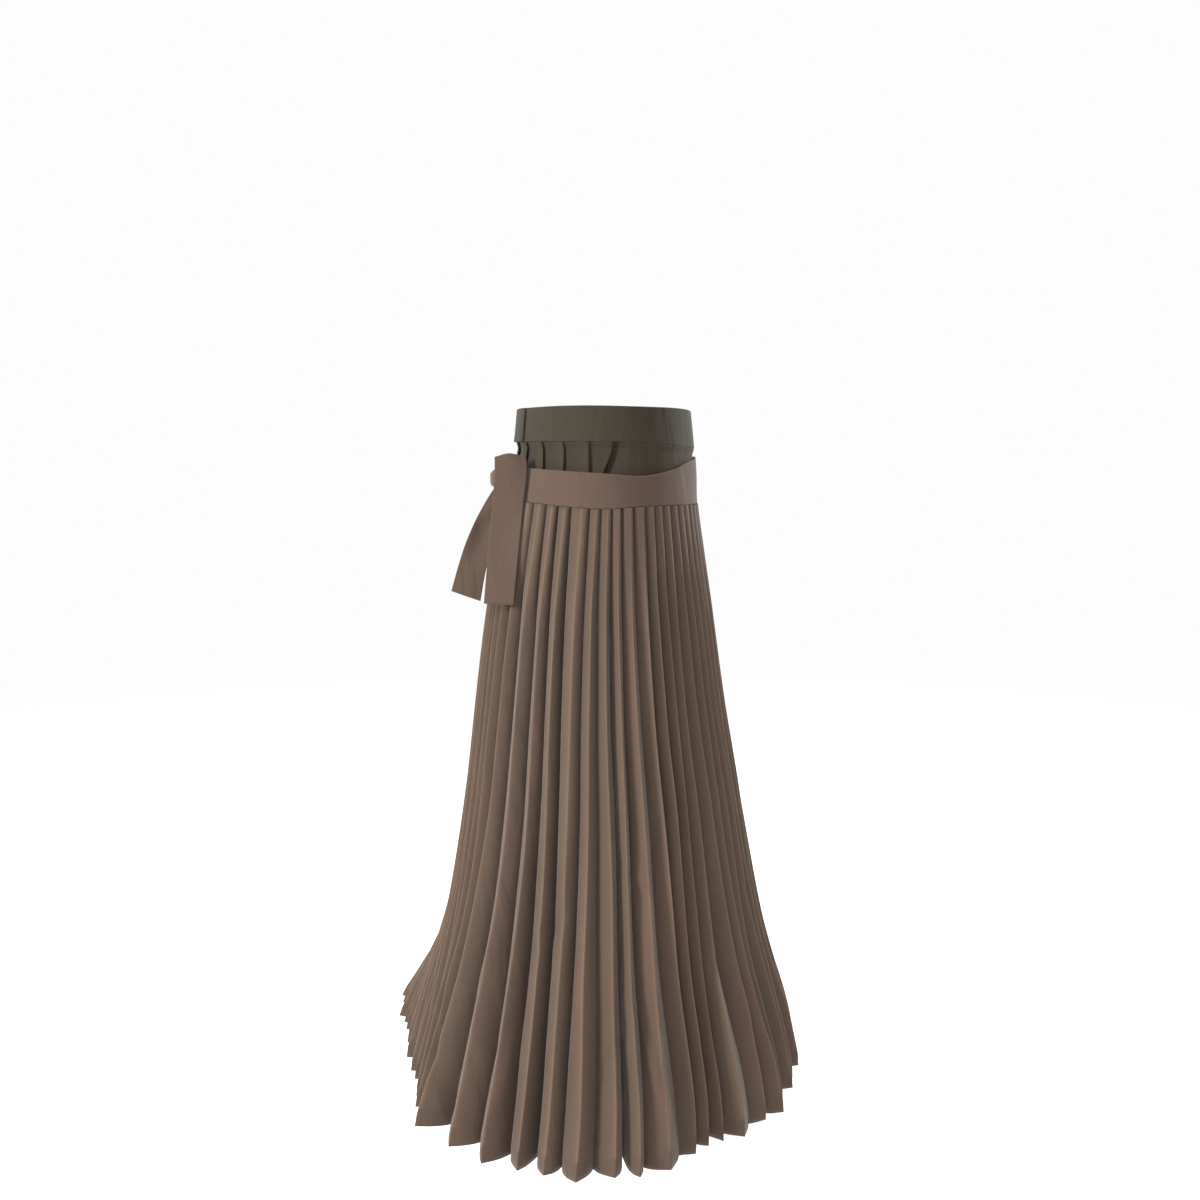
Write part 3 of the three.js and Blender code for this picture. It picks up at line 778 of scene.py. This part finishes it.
def knot():
    """The knot: a rounded lump of wound cloth with creases that run into it."""
    seat = on_outline(KNOT_TURN, KNOT["middle"])
    normal = on_outline(KNOT_TURN, KNOT["middle"], 1) - seat
    beside = np.array([-normal[1], normal[0], 0])
    middle = on_outline(KNOT_TURN, KNOT["middle"], SEAM + KNOT["lean"] + KNOT["out"] / 2)
    rounds, rings = 96, 64
    u = np.linspace(0, 2 * math.pi, rounds, endpoint=False)
    v = np.linspace(0.01, math.pi - 0.01, rings)[:, None]
    direction = np.stack([np.sin(v) * np.cos(u), np.sin(v) * np.sin(u), np.cos(v) + 0 * u], -1)
    shaped = np.sign(direction) * np.abs(direction) ** KNOT["square"]
    crease = 0.5 * np.sin(9 * direction[..., 2] + 3 * direction[..., 0]) - 0.5
    grown = 1 + KNOT["crease"] * crease
    size = np.array([KNOT["along"], KNOT["out"], KNOT["tall"]]) / 2
    local = shaped * size * grown[..., None]
    axes = np.stack([beside, normal, [0, 0, 1]])
    points = middle + local @ axes
    index = np.arange(rings * rounds).reshape(rings, rounds)
    index = np.concatenate([index, index[:, :1]], 1)
    quads = np.stack([index[:-1, :-1], index[1:, :-1], index[1:, 1:], index[:-1, 1:]], -1).reshape(-1, 4)
    cloth = np.stack([lengths(points, 1), lengths(points, 0)], -1).reshape(-1, 2)
    # Painted shade in the troughs of the creases, from a lower fold value there
    obj = mesh_object("knot_cloth", points.reshape(-1, 3), quads, cloth, (crease * 0.4 + 0.6).ravel(), 0)
    work = bmesh.new()
    work.from_mesh(obj.data)
    work.verts.ensure_lookup_table()
    work.faces.new([work.verts[i] for i in index[0, :-1]])
    work.faces.new([work.verts[i] for i in index[-1, -2::-1]])
    bmesh.ops.recalc_face_normals(work, faces=work.faces)
    work.to_mesh(obj.data)
    work.free()
    return obj


waist_piece = shown(waistband(), dark_band_cloth, "dark_cloth", "waistband")
yoke_piece = shown(yoke(), dark_cloth, "dark_cloth", "yoke")
band_piece = shown(overskirt_band(), taupe_plain, "taupe_cloth", "overskirt_band")
front_right, front_left, back_right, back_left = overskirt_panels()
shown(front_right, taupe_cloth, "taupe_cloth", "overskirt_front_right")
shown(front_left, taupe_cloth, "taupe_cloth", "overskirt_front_left")
shown(back_right, taupe_cloth, "taupe_cloth", "overskirt_back_right")
shown(back_left, taupe_cloth, "taupe_cloth", "overskirt_back_left")
knot_piece = shown(knot(), taupe_plain, "taupe_cloth", "tie_knot")
near_piece = shown(tie_end("tie_end_near_cloth", TIE_NEAR), taupe_plain, "taupe_cloth", "tie_end_near")
far_piece = shown(tie_end("tie_end_far_cloth", TIE_FAR), taupe_plain, "taupe_cloth", "tie_end_far")


# Floor, light and camera
FLOOR_Z = -1.02
FLOOR_FADE = (1.2, 4.5)
STUDIO_WHITE = 0.98
# name, place, size, power
LIGHTS = (
    ("key", (-1.7, 2.8, 0.9), 0.7, 230),
    ("front", (-3.25, 0.2, 1.1), 0.8, 75),
    ("fill", (-2.4, -2.2, 0.5), 1.4, 14),
    ("far_key", (1.9, -2.7, 0.9), 0.8, 90),
)
LIGHTS_AIM = (0, 0, -0.4)
CAMERA_PLACE = (-1.5, 0.0059, -0.040)
CAMERA_TILT = 6.65
CAMERA_SENSOR = 36
CAMERA_LENS = 36


def floor():
    """A pale floor that fades into the white of the studio far away."""
    bpy.ops.mesh.primitive_circle_add(vertices=96, radius=30, fill_type="NGON", location=(0, 0, FLOOR_Z))
    made = bpy.context.object
    made.name = "floor"
    material = bpy.data.materials.new("pale_floor")
    material.use_nodes = True
    nodes, links = material.node_tree.nodes, material.node_tree.links
    shader = nodes["Principled BSDF"]
    shader.inputs["Base Color"].default_value = (0.9, 0.9, 0.895, 1)
    shader.inputs["Roughness"].default_value = 0.9
    shader.inputs["Specular IOR Level"].default_value = 0
    place = nodes.new("ShaderNodeTexCoord")
    away = nodes.new("ShaderNodeVectorMath")
    away.operation = "LENGTH"
    links.new(place.outputs["Object"], away.inputs[0])
    fade = nodes.new("ShaderNodeMapRange")
    fade.interpolation_type = "SMOOTHSTEP"
    fade.inputs["From Min"].default_value, fade.inputs["From Max"].default_value = FLOOR_FADE
    links.new(away.outputs["Value"], fade.inputs["Value"])
    glow = nodes.new("ShaderNodeEmission")
    glow.inputs["Strength"].default_value = STUDIO_WHITE
    mixed = nodes.new("ShaderNodeMixShader")
    links.new(fade.outputs["Result"], mixed.inputs["Fac"])
    links.new(shader.outputs["BSDF"], mixed.inputs[1])
    links.new(glow.outputs["Emission"], mixed.inputs[2])
    links.new(mixed.outputs["Shader"], nodes["Material Output"].inputs["Surface"])
    made.data.materials.append(material)


def area_light(name, place, size, power):
    light = bpy.data.lights.new(name, "AREA")
    light.shape = "SQUARE"
    light.size = size
    light.energy = power
    made = bpy.data.objects.new(name, light)
    made.location = place
    toward = Vector(LIGHTS_AIM) - Vector(place)
    made.rotation_euler = toward.to_track_quat("-Z", "Y").to_euler()
    bpy.context.scene.collection.objects.link(made)


def world():
    made = bpy.data.worlds.new("studio")
    made.use_nodes = True
    background = made.node_tree.nodes["Background"]
    background.inputs["Color"].default_value = (1, 1, 1, 1)
    background.inputs["Strength"].default_value = STUDIO_WHITE
    bpy.context.scene.world = made


def camera():
    """The photo's view: level with the waist on the wearer's right, tilted down a little."""
    made = bpy.data.cameras.new("camera")
    made.sensor_width = CAMERA_SENSOR
    made.lens = CAMERA_LENS
    obj = bpy.data.objects.new("camera", made)
    obj.location = CAMERA_PLACE
    tilt = math.radians(CAMERA_TILT)
    toward = Vector((math.cos(tilt), 0, -math.sin(tilt)))
    obj.rotation_euler = toward.to_track_quat("-Z", "Y").to_euler()
    bpy.context.scene.collection.objects.link(obj)
    bpy.context.scene.camera = obj


floor()
world()
for light_row in LIGHTS:
    area_light(*light_row)
camera()
bpy.context.scene.view_settings.view_transform = "Standard"
